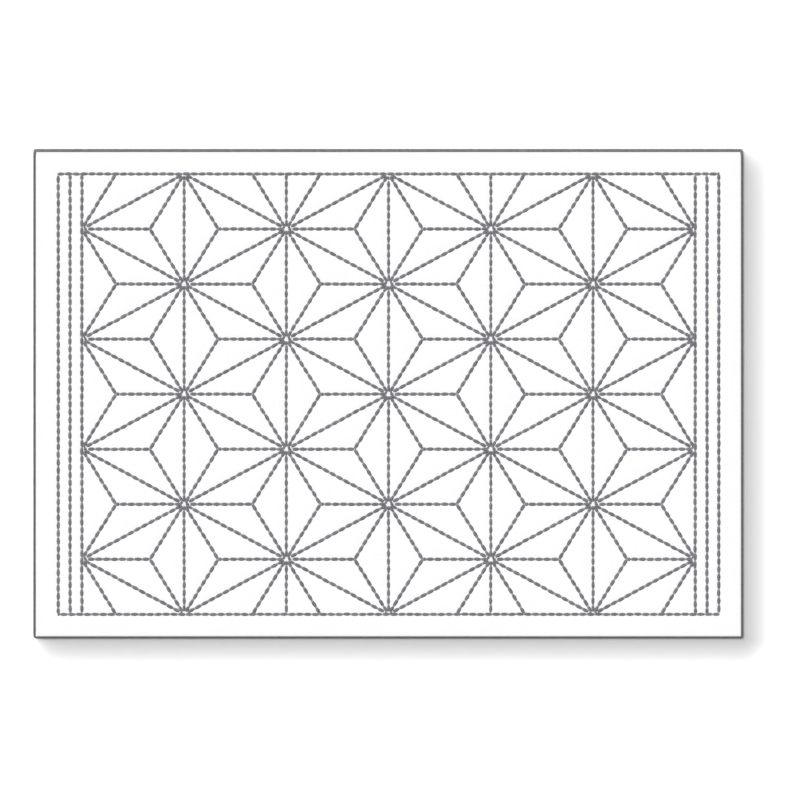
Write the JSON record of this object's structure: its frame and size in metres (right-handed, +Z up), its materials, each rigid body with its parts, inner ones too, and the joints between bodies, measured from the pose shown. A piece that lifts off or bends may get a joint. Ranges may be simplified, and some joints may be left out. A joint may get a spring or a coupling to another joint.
{
  "type": "sashiko embroidered cloth",
  "caption": "Flat rectangular white cotton cloth with a hemp-leaf star pattern in grey running stitch, ruled border lines and an oversewn edge.",
  "frame": {"origin": "centre of the cloth's underside, where it lies on a table", "axes": "+Z up out of the stitched face, +X along the long side, +Y along the short side"},
  "size_m": [0.4514, 0.3114, 0.0021],
  "materials": {
    "cotton": "plain-woven white cotton, matt",
    "stitch_thread": "slate grey twisted cotton thread",
    "edge_thread": "neutral grey twisted cotton thread"
  },
  "bodies": {
    "root": {"cloth": "cotton", "edge_stitches": "edge_thread", "star_stitches": "stitch_thread", "border_stitches_right": "stitch_thread", "border_stitches_left": "stitch_thread"}
  },
  "joints": []
}
